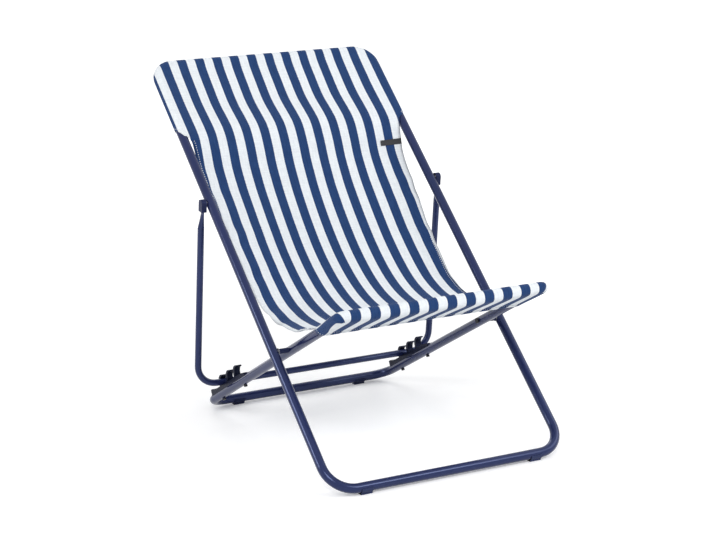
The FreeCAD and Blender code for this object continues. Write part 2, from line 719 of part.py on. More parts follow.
def canvas():
    """Hoods over the head and the seat front, and the sling that hangs between them as a catenary."""
    head_mouth, seat_mouth = "outer_reach - head_hood", "-inner_reach + seat_hood"
    hood("canvas_head_hood", "outer", "outer_width / 2", "outer_head_bend", head_mouth, "outer_reach")
    hood("canvas_seat_hood", "inner", "inner_width / 2", "inner_front_bend", seat_mouth, "-inner_reach")
    mid = value("cloth_reach - cloth_thick / 2")
    half_thick = value("cloth_thick / 2")
    high = in_chair("outer", value(head_mouth) - half_thick, mid)
    low = in_chair("inner", value(seat_mouth) + half_thick, mid)
    curve = Catenary(low, high, value("sling_length"))
    steps = [low[0] + (high[0] - low[0]) * i / (SLING_POINTS - 1) for i in range(SLING_POINTS)]
    faces = []
    for out in (half_thick, -half_thick):
        line = Part.BSplineCurve()
        line.interpolate([curve.at(y, out) for y in steps])
        faces.append(line.toShape())
    ends = [Part.makeLine(curve.at(y, half_thick), curve.at(y, -half_thick)) for y in (low[0], high[0])]
    profile = Part.Face(Part.Wire(Part.__sortEdges__(faces + ends)))
    wide = value("(outer_width - tube_dia) / 2 - sling_top_gap")
    narrow = value("(inner_width - tube_dia) / 2 - sling_seat_gap")
    sheet_solid = profile.extrude(Vector(2 * wide, 0, 0))
    sheet_solid.translate(Vector(-wide, 0, 0))
    slope = (wide - narrow) / (high[0] - low[0])
    margin = value("tube_dia")
    near, far = narrow - slope * margin, wide + slope * margin
    front, back = low[0] - margin, high[0] + margin
    corners = [(-near, front), (near, front), (far, back), (-far, back)]
    plan = Part.makePolygon([Vector(x, y, 0) for x, y in corners + corners[:1]])
    taper = Part.Face(plan).extrude(Vector(0, 0, value("outer_length")))
    sling = doc.addObject("Part::Feature", "canvas_sling")
    sling.Shape = sheet_solid.common(taper)
    keep(sling, "canvas_sling")

    tag_y = curve.below_end(high[0], value("label_below_hood"))
    edge = narrow + slope * (tag_y - low[0])
    tag = doc.addObject("Part::Box", "canvas_label_box")
    bind(tag, Length="label_length", Width="label_height", Height="label_thick")
    keep(tag, "canvas_label")
    corner = curve.at(tag_y, half_thick + value("cloth_gap"))
    corner.x = edge - value("label_from_edge + label_length")
    tag.Placement = Placement(corner, Rotation(Vector(1, 0, 0), curve.tilt(tag_y)))


def build():
    outer_frame_tube()
    inner_frame_tube()
    prop_tube()
    front_bar = "pivot_y - pivot_on_outer * cos(outer_tilt)"
    rear_bar = "pivot_y + pivot_on_inner * cos(inner_tilt)"
    for name, side in SIDES.items():
        crossing_pivot(name, side)
        prop_pivot(name, side)
        prop_end_cap(name, side)
        foot(f"front_foot_{name}", side, "(outer_width / 2 - front_foot_from_leg)", front_bar)
        foot(f"rear_foot_{name}", side, "(inner_width / 2 - rear_foot_from_leg)", rear_bar)
        rack(name, side)
        rack_screws(name, side)
    canvas()
    doc.recompute()


def check_and_export():
    """Stop on any failed object or bad shape, then write one STEP file per piece."""
    for obj in doc.Objects:
        if {"Invalid", "Error"} & set(obj.State):
            raise RuntimeError(f"{obj.Name} failed: {obj.State}")
    for label, obj in pieces.items():
        if obj.Shape.isNull() or not obj.Shape.isValid() or not obj.Shape.Solids:
            raise RuntimeError(f"{label} has no valid solid")
    os.makedirs("parts", exist_ok=True)
    for label, obj in pieces.items():
        obj.Shape.exportStep(f"parts/{label}.step")


build()
check_and_export()
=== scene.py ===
import math

import bmesh
import bpy
import numpy as np
from mathutils import Matrix, Vector


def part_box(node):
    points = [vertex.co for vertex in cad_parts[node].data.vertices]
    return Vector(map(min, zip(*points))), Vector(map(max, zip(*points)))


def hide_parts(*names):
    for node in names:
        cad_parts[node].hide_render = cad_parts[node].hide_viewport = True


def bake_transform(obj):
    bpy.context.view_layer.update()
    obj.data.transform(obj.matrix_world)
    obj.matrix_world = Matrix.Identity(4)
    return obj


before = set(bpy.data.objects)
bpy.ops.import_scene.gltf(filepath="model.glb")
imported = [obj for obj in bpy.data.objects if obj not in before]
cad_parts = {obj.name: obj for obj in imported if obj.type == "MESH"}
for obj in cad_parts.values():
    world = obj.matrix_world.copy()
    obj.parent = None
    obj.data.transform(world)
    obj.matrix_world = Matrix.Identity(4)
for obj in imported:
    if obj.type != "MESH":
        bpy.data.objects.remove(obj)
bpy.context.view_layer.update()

# The chair's own sizes, in metres and degrees, as in the part's source
PIVOT = Vector((0, -0.178093, 0.259674))
OUTER_TILT = math.radians(42.0934)
INNER_TILT = math.radians(27.6066)
OUTER_HALF, OUTER_REACH = 0.295, 0.845
INNER_HALF, INNER_REACH = 0.2475, 0.279
TUBE_RADIUS = 0.011

# Canvas: where its hoods end on the legs, how it hangs and how it is cut
CLOTH_THICK, CLOTH_GAP = 0.0012, 0.0003
CLOTH_RADIUS = TUBE_RADIUS + CLOTH_GAP + CLOTH_THICK / 2
HEAD_MOUTH, BACK_SAG = 0.617, 0.006
SEAT_MOUTH, SEAT_SAG, FLAP_SAG = -0.150, 0.005, -0.001
CATENARY_SCALE, CATENARY_LOW_Y, CATENARY_LOW_Z = 0.290, -0.1468, 0.3020

# Knots of the cloth's middle line: (along, out) of the outer frame down the back,
# then the y of each knot on the hanging curve below, and one guide beyond the seat hood's mouth
BACK_LINE = (
    (0.875, CLOTH_RADIUS),
    (0.845, CLOTH_RADIUS),
    (0.816, 0.005),
    (0.770, 0.000),
    (0.716, -0.004),
    (0.666, 0.002),
    (0.638, 0.005),
    (0.612, 0.001),
    (0.576, -0.012),
    (0.539, -0.029),
    (0.500, -0.042),
    (0.459, -0.053),
)
HANG_LINE = (0.15, 0.09, 0.03, -0.03, -0.09, -0.15, -0.20, -0.25)
GUIDE_BEYOND, BACK_END, LINE_STEPS = 0.05, 0.4, 30

# Sling: half widths, with the power of each edge's taper, the hollow below the head's sleeves, how far
# the edges curve forward, ripples along them as (size, phase), and the runs over which its ends settle
SLING_TOP_HALF = 0.282
SLING_SEAT_LEFT, SLING_SEAT_RIGHT = (0.247, 2), (0.256, 2.4)
MOUTH_CURVE, MOUTH_FLARE = 0.028, 0.009
SLING_DISH, SLING_DRIFT = 0.022, 0.0010
RIPPLE_LEFT, RIPPLE_RIGHT = (0.0034, 0.4), (0.0016, 1.9)
RIPPLE_WAVES, RIPPLE_REACH = (76, 121), 0.036
TUCK_RUN, TOP_RUN, SEAT_RUN = 0.05, 0.10, 0.12
SLING_ROWS = 96

# Hoods: corners, ease, slack behind the seat's bar, lean of the mouths, and steps of their meshes
HEAD_CORNER, SEAT_CORNER = 0.047, 0.012
HEAD_SAG_RUN, SEAT_SAG_RUN = 0.07, 0.05
SEAT_EASE, SEAT_DROP, SEAT_DROP_RUN = 0.008, 0.0045, 0.12
HEAD_LEAN_SIDE, HEAD_LEAN_BACK, SEAT_LEAN_BACK = 0.018, 0.009, -0.0095
LEG_STEPS, LEAN_STEPS, CORNER_STEPS, ARC = 9, 9, 10, 14

# Hems, stripes, sewing and label
HEM = 0.010
HEM_DEPTHS, HEM_BELOW, HEM_FOLD = (0.002, 0.5 * HEM, HEM), 1.15, 0.0015
STRIPE_PERIOD, STRIPE_WIDTH, STRIPE_START = 0.0468, 0.0242, -0.2366
SEAT_DRAW, SEAT_SPREAD = 0.0012, 0.0020
STITCH_INSET, STITCH_PITCH, STITCH_LENGTH, STITCH_RADIUS = 0.007, 0.0056, 0.0036, 0.00095
STITCH_START, STITCH_END, STITCH_AIM = 0.012, 0.02, 0.0008
LABEL_LENGTH, LABEL_HEIGHT, LABEL_THICK = 0.058, 0.0135, 0.0008
LABEL_GAP, LABEL_SELVEDGE, LABEL_TURN = 0.0002, 0.0003, 0.0004

# Places across the cloth, as shares of its half width: the sling's, and the hoods' with their sleeves
EDGE = (SLING_TOP_HALF + MOUTH_FLARE) / OUTER_HALF
INSIDE = [i / 32 - 1 for i in range(65)]
COLUMNS = [-1.0] + [EDGE * share for share in INSIDE] + [1.0]

BLACK, WHITE = (0, 0, 0), (1, 1, 1)


def outer_point(x, along, out):
    """A point of the outer frame's plane: across, up along the legs, and out to the front."""
    c, s = math.cos(OUTER_TILT), math.sin(OUTER_TILT)
    return Vector((x, PIVOT.y + along * c - out * s, PIVOT.z + along * s + out * c))


def inner_point(x, along, out):
    """A point of the inner frame's plane: across, back along the legs, and out to the top."""
    c, s = math.cos(INNER_TILT), math.sin(INNER_TILT)
    return Vector((x, PIVOT.y + along * c + out * s, PIVOT.z - along * s + out * c))


def smooth(low, high, x):
    t = min(1.0, max(0.0, (x - low) / (high - low)))
    return t * t * (3 - 2 * t)


# Materials


def new_material(name):
    material = bpy.data.materials.new(name)
    material.use_nodes = True
    tree = material.node_tree
    return material, tree, tree.nodes["Principled BSDF"]


def add(tree, kind, **settings):
    node = tree.nodes.new(kind)
    for name, setting in settings.items():
        if name in node.inputs:
            node.inputs[name].default_value = setting
        else:
            setattr(node, name, setting)
    return node


def math_node(tree, operation, first, second=None):
    node = tree.nodes.new("ShaderNodeMath")
    node.operation = operation
    for socket, value in zip(node.inputs, (first, second)):
        if value is None:
            continue
        if isinstance(value, (int, float)):
            socket.default_value = value
        else:
            tree.links.new(value, socket)
    return node.outputs[0]


def ramp(tree, source, stops):
    node = tree.nodes.new("ShaderNodeValToRGB")
    points = node.color_ramp.elements
    while len(points) < len(stops):
        points.new(0.5)
    for point, (place, colour) in zip(points, stops):
        point.position = place
        point.color = (*colour, 1)
    tree.links.new(source, node.inputs["Fac"])
    return node.outputs["Color"]


def mix_colour(tree, factor, first, second, blend="MIX"):
    node = tree.nodes.new("ShaderNodeMix")
    node.data_type = "RGBA"
    node.blend_type = blend
    for name, value in (("Factor", factor), ("A", first), ("B", second)):
        socket = node.inputs[name]
        if isinstance(value, (int, float)):
            socket.default_value = value
        elif isinstance(value, tuple):
            socket.default_value = (*value, 1)
        else:
            tree.links.new(value, socket)
    return node.outputs["Result"]


def noise(tree, vector, scale, detail=3.0, roughness=0.55):
    node = add(tree, "ShaderNodeTexNoise", Scale=scale, Detail=detail, Roughness=roughness)
    tree.links.new(vector, node.inputs["Vector"])
    return node.outputs["Fac"]


def bump(tree, shader, height, distance, strength=1.0):
    node = add(tree, "ShaderNodeBump", Strength=strength, Distance=distance)
    tree.links.new(height, node.inputs["Height"])
    tree.links.new(node.outputs["Normal"], shader.inputs["Normal"])


def vary_roughness(tree, shader, source, low, high):
    shade = ramp(tree, source, [(0.3, (low,) * 3), (0.7, (high,) * 3)])
    tree.links.new(shade, shader.inputs["Roughness"])


def stretched(tree, vector, factors):
    node = add(tree, "ShaderNodeVectorMath", operation="MULTIPLY")
    tree.links.new(vector, node.inputs[0])
    node.inputs[1].default_value = factors
    return node.outputs["Vector"]


def painted_tube():
    """Navy stove enamel over steel: fine orange peel, slight mottling and dust."""
    material, tree, shader = new_material("navy_enamel")
    place = add(tree, "ShaderNodeTexCoord").outputs["Object"]
    mottle = noise(tree, place, 9.0, 4.0)
    colour = ramp(tree, mottle, [(0.30, (0.0105, 0.0155, 0.058)), (0.72, (0.0165, 0.0225, 0.080))])
    dust = noise(tree, place, 160.0, 2.0)
    speck = ramp(tree, dust, [(0.66, BLACK), (0.80, WHITE)])
    colour = mix_colour(tree, math_node(tree, "MULTIPLY", speck, 0.03), colour, (0.13, 0.14, 0.20))
    tree.links.new(colour, shader.inputs["Base Color"])
    vary_roughness(tree, shader, noise(tree, place, 45.0, 3.0), 0.13, 0.18)
    shader.inputs["Specular IOR Level"].default_value = 0.5
    shader.inputs["Specular Tint"].default_value = (0.45, 0.56, 1.0, 1)
    shader.inputs["Coat Weight"].default_value = 0.06
    shader.inputs["Coat Roughness"].default_value = 0.12
    peel = noise(tree, place, 700.0, 2.0)
    bump(tree, shader, peel, 0.00006, 0.35)
    return material


def moulded_plastic(name, dark, light, end=None):
    """Dark injection moulding: fine grain and convex edges a little paler. Where end is given,
    faces that look across the chair take that colour."""
    material, tree, shader = new_material(name)
    coordinates = add(tree, "ShaderNodeTexCoord")
    place = coordinates.outputs["Object"]
    tone = noise(tree, place, 30.0, 4.0)
    colour = ramp(tree, tone, [(0.3, dark), (0.75, light)])
    # Convex edges, found by pointiness, are made a little paler.
    edge = add(tree, "ShaderNodeNewGeometry").outputs["Pointiness"]
    edge_rim = math_node(tree, "MULTIPLY", ramp(tree, edge, [(0.52, BLACK), (0.60, WHITE)]), 0.30)
    colour = mix_colour(tree, edge_rim, colour, (0.030, 0.034, 0.060))
    if end:
        facing = add(tree, "ShaderNodeSeparateXYZ")
        tree.links.new(coordinates.outputs["Normal"], facing.inputs["Vector"])
        across = math_node(tree, "ABSOLUTE", facing.outputs["X"])
        colour = mix_colour(tree, math_node(tree, "GREATER_THAN", across, 0.7), colour, end)
    tree.links.new(colour, shader.inputs["Base Color"])
    grain = noise(tree, place, 1500.0, 2.0)
    vary_roughness(tree, shader, grain, 0.20, 0.32)
    shader.inputs["Specular IOR Level"].default_value = 0.07
    shader.inputs["Specular Tint"].default_value = (0.35, 0.45, 1.0, 1)
    bump(tree, shader, grain, 0.00010, 0.5)
    return material


def metal(name, dark, light):
    """Turned steel: faint rings of tone and a fine brushed bump."""
    material, tree, shader = new_material(name)
    place = add(tree, "ShaderNodeTexCoord").outputs["Object"]
    tone = noise(tree, place, 220.0, 4.0)
    tree.links.new(ramp(tree, tone, [(0.3, dark), (0.75, light)]), shader.inputs["Base Color"])
    shader.inputs["Metallic"].default_value = 1.0
    fine = noise(tree, place, 1800.0, 2.0)
    vary_roughness(tree, shader, fine, 0.30, 0.42)
    bump(tree, shader, fine, 0.00005, 0.4)
    return material


def striped_canvas():
    """Navy and white woven stripes: hard yarn edges, slubs, plain weave bump and a soft sheen."""
    material, tree, shader = new_material("striped_canvas")
    flat = add(tree, "ShaderNodeUVMap", uv_map="flat").outputs["UV"]
    split = add(tree, "ShaderNodeSeparateXYZ")
    tree.links.new(flat, split.inputs["Vector"])
    across, along = split.outputs["X"], split.outputs["Y"]
    warp_noise = noise(tree, stretched(tree, flat, (1.0, 0.16, 1.0)), 260.0, 3.0)
    weft_noise = noise(tree, stretched(tree, flat, (0.12, 1.0, 1.0)), 320.0, 3.0)

    jitter = math_node(tree, "MULTIPLY", math_node(tree, "SUBTRACT", weft_noise, 0.5), 0.0012)
    shifted = math_node(tree, "ADD", math_node(tree, "SUBTRACT", across, STRIPE_START), jitter)
    phase = math_node(tree, "FRACT", math_node(tree, "DIVIDE", shifted, STRIPE_PERIOD))
    share = STRIPE_WIDTH / STRIPE_PERIOD
    edge = 0.006
    stops = [(0.0, BLACK), (edge, WHITE), (share - edge / 2, WHITE), (share + edge / 2, BLACK)]
    stripe = ramp(tree, phase, stops)
    navy = ramp(tree, warp_noise, [(0.25, (0.011, 0.039, 0.130)), (0.75, (0.019, 0.058, 0.178))])
    white = ramp(tree, warp_noise, [(0.25, (0.760, 0.803, 0.838)), (0.75, (0.865, 0.902, 0.930))])
    colour = mix_colour(tree, stripe, white, navy)
    slub = ramp(tree, weft_noise, [(0.30, (0.90, 0.90, 0.92)), (0.62, WHITE)])
    colour = mix_colour(tree, 0.8, colour, slub, "MULTIPLY")

    thread = 0.00115
    warp_wave = math_node(tree, "SINE", math_node(tree, "MULTIPLY", across, 2 * math.pi / thread))
    weft_wave = math_node(tree, "SINE", math_node(tree, "MULTIPLY", along, 2 * math.pi / thread))
    weave = math_node(tree, "MULTIPLY", warp_wave, weft_wave)
    shade = math_node(tree, "ADD", math_node(tree, "MULTIPLY", weave, 0.06), 0.97)
    colour = mix_colour(tree, 1.0, colour, shade, "MULTIPLY")
    tree.links.new(colour, shader.inputs["Base Color"])
    shader.inputs["Roughness"].default_value = 0.86
    shader.inputs["Specular IOR Level"].default_value = 0.15
    shader.inputs["Sheen Weight"].default_value = 0.06
    shader.inputs["Sheen Roughness"].default_value = 0.5
    height = math_node(tree, "ADD", weave, math_node(tree, "MULTIPLY", weft_noise, 1.2))
    bump(tree, shader, height, 0.00022, 0.6)
    return material


def label_cloth():
    """Bare black woven tape with a selvedge."""
    material, tree, shader = new_material("label_tape")
    place = add(tree, "ShaderNodeTexCoord").outputs["Object"]
    grain = noise(tree, place, 1400.0, 2.0)
    colour = ramp(tree, grain, [(0.3, (0.006, 0.0065, 0.009)), (0.7, (0.017, 0.018, 0.022))])
    tree.links.new(colour, shader.inputs["Base Color"])
    shader.inputs["Roughness"].default_value = 0.7
    bump(tree, shader, grain, 0.0001, 0.6)
    return material


def sewing_thread():
    """Twisted white thread."""
    material, tree, shader = new_material("sewing_thread")
    place = add(tree, "ShaderNodeTexCoord").outputs["Object"]
    twist = noise(tree, place, 2500.0, 1.0)
    colour = ramp(tree, twist, [(0.3, (0.62, 0.64, 0.66)), (0.7, (0.84, 0.85, 0.85))])
    tree.links.new(colour, shader.inputs["Base Color"])
    shader.inputs["Roughness"].default_value = 0.75
    bump(tree, shader, twist, 0.0001, 0.5)
    return material


# Canvas: one continuous cloth from the hood over the head bar, down the sling,
# to the hood over the seat's front bar


def linked(name, points, faces, material):
    mesh = bpy.data.meshes.new(name)
    mesh.from_pydata(points, [], faces)
    mesh.polygons.foreach_set("use_smooth", [True] * len(mesh.polygons))
    mesh.materials.append(material)
    obj = bpy.data.objects.new(name, mesh)
    bpy.context.collection.objects.link(obj)
    return obj


def thicken(obj, thickness):
    solid = obj.modifiers.new("thickness", "SOLIDIFY")
    solid.thickness = thickness
    solid.offset = 0


class Cloth:
    """Collects the vertices, faces and flat coordinates of a cloth mesh."""

    def __init__(self):
        self.points, self.faces, self.flats = [], [], []

    def vertex(self, point):
        self.points.append(point)
        return len(self.points) - 1

    def grid(self, rows, flats):
        for low, high, flat_low, flat_high in zip(rows, rows[1:], flats, flats[1:]):
            for i in range(len(low) - 1):
                self.faces.append((low[i], low[i + 1], high[i + 1], high[i]))
                self.flats.append((flat_low[i], flat_low[i + 1], flat_high[i + 1], flat_high[i]))

    def flat_area(self):
        total = 0.0
        for corners in self.flats:
            turned = corners[1:] + corners[:1]
            total += abs(sum(a[0] * b[1] - b[0] * a[1] for a, b in zip(corners, turned))) / 2
        return total

    def build(self, name, material):
        obj = linked(name, self.points, self.faces, material)
        layer = obj.data.uv_layers.new(name="flat")
        for polygon, corners in zip(obj.data.polygons, self.flats):
            for loop, corner in zip(polygon.loop_indices, corners):
                layer.data[loop].uv = corner
        shell = bmesh.new()
        shell.from_mesh(obj.data)
        bmesh.ops.recalc_face_normals(shell, faces=shell.faces)
        shell.to_mesh(obj.data)
        shell.free()
        thicken(obj, CLOTH_THICK)
        return obj


def middle_line():
    """The cloth's middle from the head bar to the seat hood's mouth, a fine line through its knots."""
    knots = [outer_point(0, along, out) for along, out in BACK_LINE]
    for y in HANG_LINE:
        rise = CATENARY_SCALE * (math.cosh((y - CATENARY_LOW_Y) / CATENARY_SCALE) - 1)
        knots.append(Vector((0, y, CATENARY_LOW_Z + rise)))
    level = CLOTH_RADIUS - SEAT_SAG
    knots += [inner_point(0, SEAT_MOUTH - beyond, level) for beyond in (0, GUIDE_BEYOND)]
    fine = []
    for a, b, c, d in zip(knots, knots[1:], knots[2:], knots[3:]):
        square, cube = 2 * a - 5 * b + 4 * c - d, 3 * b - a - 3 * c + d
        for i in range(LINE_STEPS):
            t = i / LINE_STEPS
            fine.append(0.5 * (2 * b + (c - a) * t + square * t**2 + cube * t**3))
    return fine + [knots[-2]]


def on_outer_frame(point):
    """How far along and out of the outer frame a point lies."""
    c, s = math.cos(OUTER_TILT), math.sin(OUTER_TILT)
    away = point - PIVOT
    return away.y * c + away.z * s, away.z * c - away.y * s


class Sling:
    """The sheet between the two hoods, found by its run down from the head and its share across."""

    def __init__(self):
        line = middle_line()
        self.ys, self.zs = (np.array([p[i] for p in line]) for i in (1, 2))
        alongs, outs = (np.array(v) for v in zip(*(on_outer_frame(p) for p in line)))
        above = alongs > BACK_END
        self.back_alongs, self.back_outs = alongs[above][::-1], outs[above][::-1]
        runs = np.concatenate([[0], np.cumsum(np.hypot(np.diff(self.ys), np.diff(self.zs)))])
        start = float(np.interp(-HEAD_MOUTH, -alongs[above], runs[above]))
        self.runs = runs - start
        self.length = float(self.runs[-1])
        self.top_lift = CLOTH_RADIUS - self.back_out(HEAD_MOUTH)

    def back_out(self, along):
        return float(np.interp(along, self.back_alongs, self.back_outs))

    def run_at_height(self, height):
        low = int(np.argmin(self.zs))
        return float(np.interp(-height, -self.zs[:low], self.runs[:low]))

    def centre(self, run):
        y, z = (float(np.interp(run, self.runs, values)) for values in (self.ys, self.zs))
        return Vector((0, y, z))

    def normal(self, run):
        step = 0.004
        down = self.centre(min(self.length, run + step)) - self.centre(max(0.0, run - step))
        return Vector((1, 0, 0)).cross(-down).normalized()

    def half(self, run, side):
        """Half width of the cut: hollowed below the sleeve, then tapered to the seat's leg."""
        seat, power = SLING_SEAT_RIGHT if side > 0 else SLING_SEAT_LEFT
        taper = seat + (SLING_TOP_HALF - seat) * (1 - run / self.length) ** power
        near = max(0.0, 1 - run / MOUTH_CURVE)
        flare = MOUTH_FLARE * (1 - math.sqrt(1 - near * near))
        tuck = smooth(self.length - TUCK_RUN, self.length, run)
        return (taper + flare) * (1 - tuck) + INNER_HALF * EDGE * tuck

    def point(self, run, share, off=0.0):
        """A point of the sheet, or of what lies off its face."""
        t = run / self.length
        half = self.half(run, share)
        near = math.exp(-(1 - abs(share)) * half / RIPPLE_REACH)
        size, phase = RIPPLE_LEFT if share < 0 else RIPPLE_RIGHT
        slow, fast = RIPPLE_WAVES
        wave = math.sin(run * slow + phase) + 0.5 * math.sin(run * fast + 3 * phase)
        fade = smooth(0.05, 0.25, t) * (1 - 0.5 * smooth(0.40, 0.60, t)) * smooth(1.0, 0.90, t)
        ripple = size * near * wave * fade
        drift = SLING_DRIFT * math.sin(share * 5.2 + run * 9) * math.sin(run * 13 + 0.7)
        drift *= smooth(0, 0.15, t) * smooth(1, 0.9, t)
        lift = self.top_lift * abs(share) ** 3 * (1 - smooth(0.0, TOP_RUN, run))
        dish = SLING_DISH * share**2 * smooth(0.06, 0.30, t) * smooth(0.66, 0.45, t)
        seat = SEAT_SAG * abs(share) ** 3 * smooth(self.length - SEAT_RUN, self.length, run)
        middle = self.centre(run)
        middle.x = half * share
        raised = outer_point(0, 0, lift) - PIVOT
        return middle + raised + self.normal(run) * (ripple + drift + dish + seat + off)

    def inset_share(self, run, side, inset):
        return side * (1 - inset / self.half(run, side))


class Hood:
    """A pocket over a loop's end: front and back sheets, and a half round over the tube."""

    def __init__(
        self, place, half, bend, ease, mouth, bar, lean, face, flat_start, flat_sign, seam, drop
    ):
        """place puts (across, along, out) in the chair, ease widens the pocket towards its corners,
        lean gives the mouth's shift at an angle round the tube, face a sheet's rise at
        (behind, along, share), seam the step round the tube where the two sheets are sewn, and
        drop how far slack cloth hangs away behind the bar."""
        self.place, self.lean, self.face, self.seam, self.drop = place, lean, face, seam, drop
        self.mouth, self.bar = mouth, bar
        self.flat_start, self.flat_sign = flat_start, flat_sign
        self.sign = 1 if bar > mouth else -1
        self.path = self.edge(half, bend, ease)

    def edge(self, half, bend, ease):
        """Left half of the hood's line on the loop, from the mouth along the leg and round to the bar:
        (across, along) and the way out of the loop there."""
        turn = abs(self.bar - self.mouth) - bend
        stations = [0.0, STITCH_INSET, 2 * HEM]
        stations += [2 * HEM + (turn - 2 * HEM) * i / LEG_STEPS for i in range(1, LEG_STEPS)]
        path = []
        for d in stations:
            path.append((-half - ease * smooth(0, turn, d), self.mouth + self.sign * d, -1.0, 0.0))
        for i in range(CORNER_STEPS + 1):
            a = math.pi / 2 * i / CORNER_STEPS
            x = -half - ease + bend * (1 - math.cos(a))
            along = self.mouth + self.sign * (turn + bend * math.sin(a))
            path.append((x, along, -math.cos(a), self.sign * math.sin(a)))
        return path

    def flat(self, x, along, behind, over=0.0):
        """Flat coordinates of a point of a sheet, or of one that lies over beyond it round the tube."""
        run = abs(along - self.mouth)
        if behind:
            run = abs(self.bar - self.mouth) + math.pi * CLOTH_RADIUS + abs(self.bar - along)
        return flat_across(x, self.flat_sign), self.flat_start + self.flat_sign * (run + over)

    def slack(self, along, share):
        """How far the cloth behind the bar hangs away from the loop."""
        fade = 1 - smooth(0, SEAT_DROP_RUN, abs(self.bar - along))
        return self.drop * fade * (1 - abs(share) ** 3)

    def along(self, index, angle):
        return self.path[index][1] + self.lean(angle) * (1 - smooth(0, LEAN_STEPS, index))

    def sheet(self, cloth, behind):
        angle = math.pi if behind else 0.0
        rows, flats = [], []
        for index, (x, _, _, _) in enumerate(self.path):
            along = self.along(index, angle)
            row, coords = [], []
            for share in COLUMNS:
                out = CLOTH_RADIUS * math.cos(angle) + self.face(behind, along, share)
                if behind:
                    out -= self.slack(along, share)
                row.append(cloth.vertex(self.place(-x * share, along, out)))
                coords.append(self.flat(-x * share, along, behind))
            rows.append(row)
            flats.append(coords)
        cloth.grid(rows, flats)
        return rows

    def ring(self, cloth, index, x, ox, share, first, last):
        """Vertices round the outside of the tube, with flat coordinates as part of either sheet."""
        slope = self.path[index][3]
        line, front, back = [], [], []
        for k in range(ARC + 1):
            angle = math.pi * k / ARC
            along = self.along(index, angle)
            reach, gone = CLOTH_RADIUS * math.sin(angle), CLOTH_RADIUS * angle
            left = math.pi * CLOTH_RADIUS - gone
            front.append(self.flat(x + ox * gone, along, False, abs(slope) * gone))
            back.append(self.flat(x + ox * left, along, True, -abs(slope) * left))
            if 0 < k < ARC:
                slack = self.slack(along, share) * smooth(0.2, 1.0, k / ARC)
                out = CLOTH_RADIUS * math.cos(angle) - slack
                line.append(cloth.vertex(self.place(x + ox * reach, along + slope * reach, out)))
        return [first] + line + [last], front, back

    def build(self, cloth):
        self.front, self.back = self.sheet(cloth, False), self.sheet(cloth, True)
        self.sides = []
        for side in (0, -1):
            turn = 1 if side == 0 else -1
            rings = []
            for i, (x, _, ox, _) in enumerate(self.path):
                ends = self.front[i][side], self.back[i][side]
                rings.append(self.ring(cloth, i, turn * x, turn * ox, turn, *ends))
            cut = self.seam + 1
            cloth.grid([r[0][:cut] for r in rings], [r[1][:cut] for r in rings])
            cloth.grid([r[0][self.seam:] for r in rings], [r[2][self.seam:] for r in rings])
            self.sides.append(rings)
        last = len(self.path) - 1
        over = [self.sides[0][-1]]
        for k in range(1, len(COLUMNS) - 1):
            share = COLUMNS[k]
            x = -self.path[last][0] * share
            ends = self.front[last][k], self.back[last][k]
            over.append(self.ring(cloth, last, x, 0.0, share, *ends))
        over.append(self.sides[1][-1])
        cloth.grid([r[0] for r in over], [r[1] for r in over])


def flat_across(x, seat):
    """Where a point across the chair lies on the flat cloth, which is drawn right at the seat."""
    return x - (SEAT_DRAW + SEAT_SPREAD * x / INNER_HALF) * max(0.0, seat)


def head_face(sling):
    """The sheets between the head's sleeves sag, the front one along the middle line."""

    def face(behind, along, share):
        bulge = 1 - abs(share) ** 3
        if behind:
            return -BACK_SAG * smooth(0, HEAD_SAG_RUN, OUTER_REACH - along) * bulge
        return (sling.back_out(along) - CLOTH_RADIUS) * bulge

    return face


def seat_face(behind, along, share):
    fade = smooth(0, SEAT_SAG_RUN, along + INNER_REACH)
    sag = FLAP_SAG if behind else SEAT_SAG
    return -sag * fade * (1 - abs(share) ** 3)


def head_lean(angle):
    return HEAD_LEAN_SIDE * math.sin(angle) + HEAD_LEAN_BACK * (1 - math.cos(angle))


def seat_lean(angle):
    return SEAT_LEAN_BACK * (1 - math.cos(angle))


def side_hem(cloth, sling, rows, runs, side):
    """The sling's edge turned under: a narrow second layer below the cloth, joined to its edge."""
    hem_rows, hem_flats = [], []
    for row, run in zip(rows, runs):
        half = sling.half(run, side)
        line, coords = [row[0 if side < 0 else -1]], [(side * half, run)]
        for depth in HEM_DEPTHS:
            share = sling.inset_share(run, side, depth)
            line.append(cloth.vertex(sling.point(run, share, -HEM_BELOW * CLOTH_THICK)))
            coords.append((side * (half + depth), run))
        hem_rows.append(line)
        hem_flats.append(coords)
    cloth.grid(hem_rows, hem_flats)


def mouth_hem(cloth, hood):
    """The back sheet's end turned over outside: a second layer on its first rows."""
    shares = COLUMNS[1:-1]
    rows = [hood.back[0][1:-1]]
    flats = [[hood.flat(-hood.path[0][0] * share, hood.mouth, True) for share in shares]]
    for index, rise in ((0, 1.0), (1, 1.1), (2, 1.1)):
        shift = hood.sign * HEM_FOLD if index == 0 else 0.0
        along = hood.along(index, math.pi) + shift
        row, coords = [], []
        for share in shares:
            x = -hood.path[index][0] * share
            out = -CLOTH_RADIUS + hood.face(True, along, share) - hood.slack(along, share)
            out -= rise * CLOTH_THICK
            row.append(cloth.vertex(hood.place(x, along, out)))
            coords.append(hood.flat(x, 2 * hood.mouth - along, True))
        rows.append(row)
        flats.append(coords)
    cloth.grid(rows, flats)


def stitch_lines(cloth, sling, hoods):
    """Lines of sewing: down the sling's edges, round the sleeves' ends and along the hoods' hems."""
    lines = []
    for side in (-1, 1):
        runs = np.linspace(STITCH_START, sling.length - STITCH_END, 200)
        lines.append([sling.point(run, sling.inset_share(run, side, STITCH_INSET)) for run in runs])
    for hood in hoods:
        for rings in hood.sides:
            lines.append([cloth.points[i] for i in rings[1][0]])
        lines.append([cloth.points[i] for i in hood.back[2][1:-1]])
    return lines


def along_line(coords, runs, run):
    return Vector([np.interp(run, runs, column) for column in coords.T])


